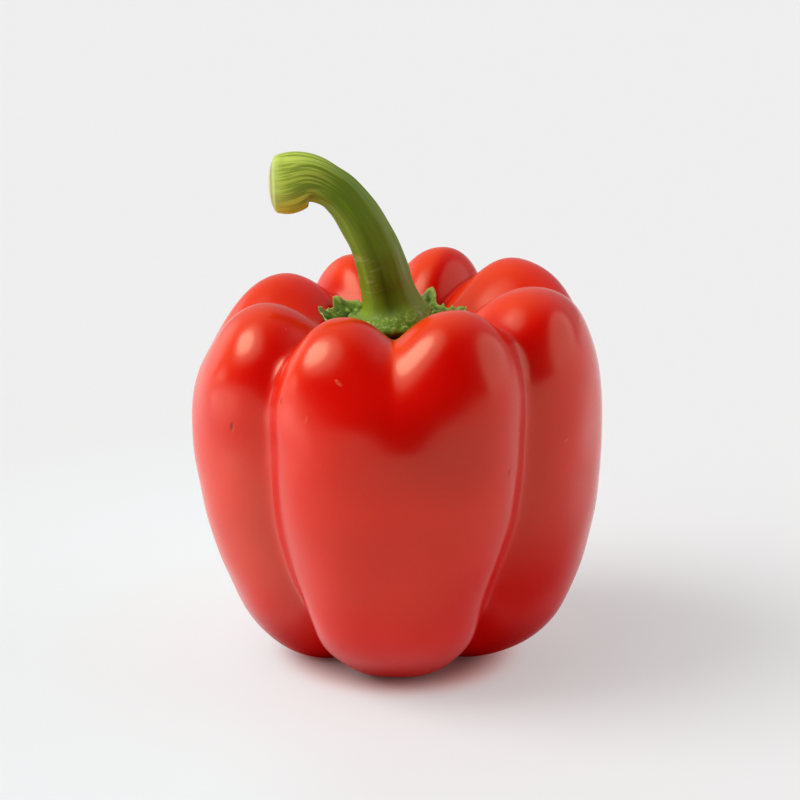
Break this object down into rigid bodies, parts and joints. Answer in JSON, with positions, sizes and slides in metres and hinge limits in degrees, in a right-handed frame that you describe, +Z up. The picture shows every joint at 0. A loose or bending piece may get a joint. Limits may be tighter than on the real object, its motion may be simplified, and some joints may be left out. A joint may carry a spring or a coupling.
{
  "type": "bell pepper",
  "caption": "Blocky red bell pepper standing on its lobe tips, with a green calyx in the pit at its crown and a curved cut stem bending to one side.",
  "frame": {"origin": "on the surface the pepper stands on, under the middle of its bounding box", "axes": "+Z up from the lobe tips to the top of the stem, -Y towards the front lobe, and the stem bends over towards -X"},
  "size_m": [0.0846, 0.0846, 0.1081],
  "materials": {
    "fruit_skin": "ripe red waxy skin, smooth and glossy",
    "calyx_green": "veined dark green leaf, half matt",
    "stem_green": "ribbed fleshy green stem, satin"
  },
  "bodies": {
    "root": {"fruit": "fruit_skin", "calyx": "calyx_green", "stem": "stem_green"}
  },
  "joints": []
}
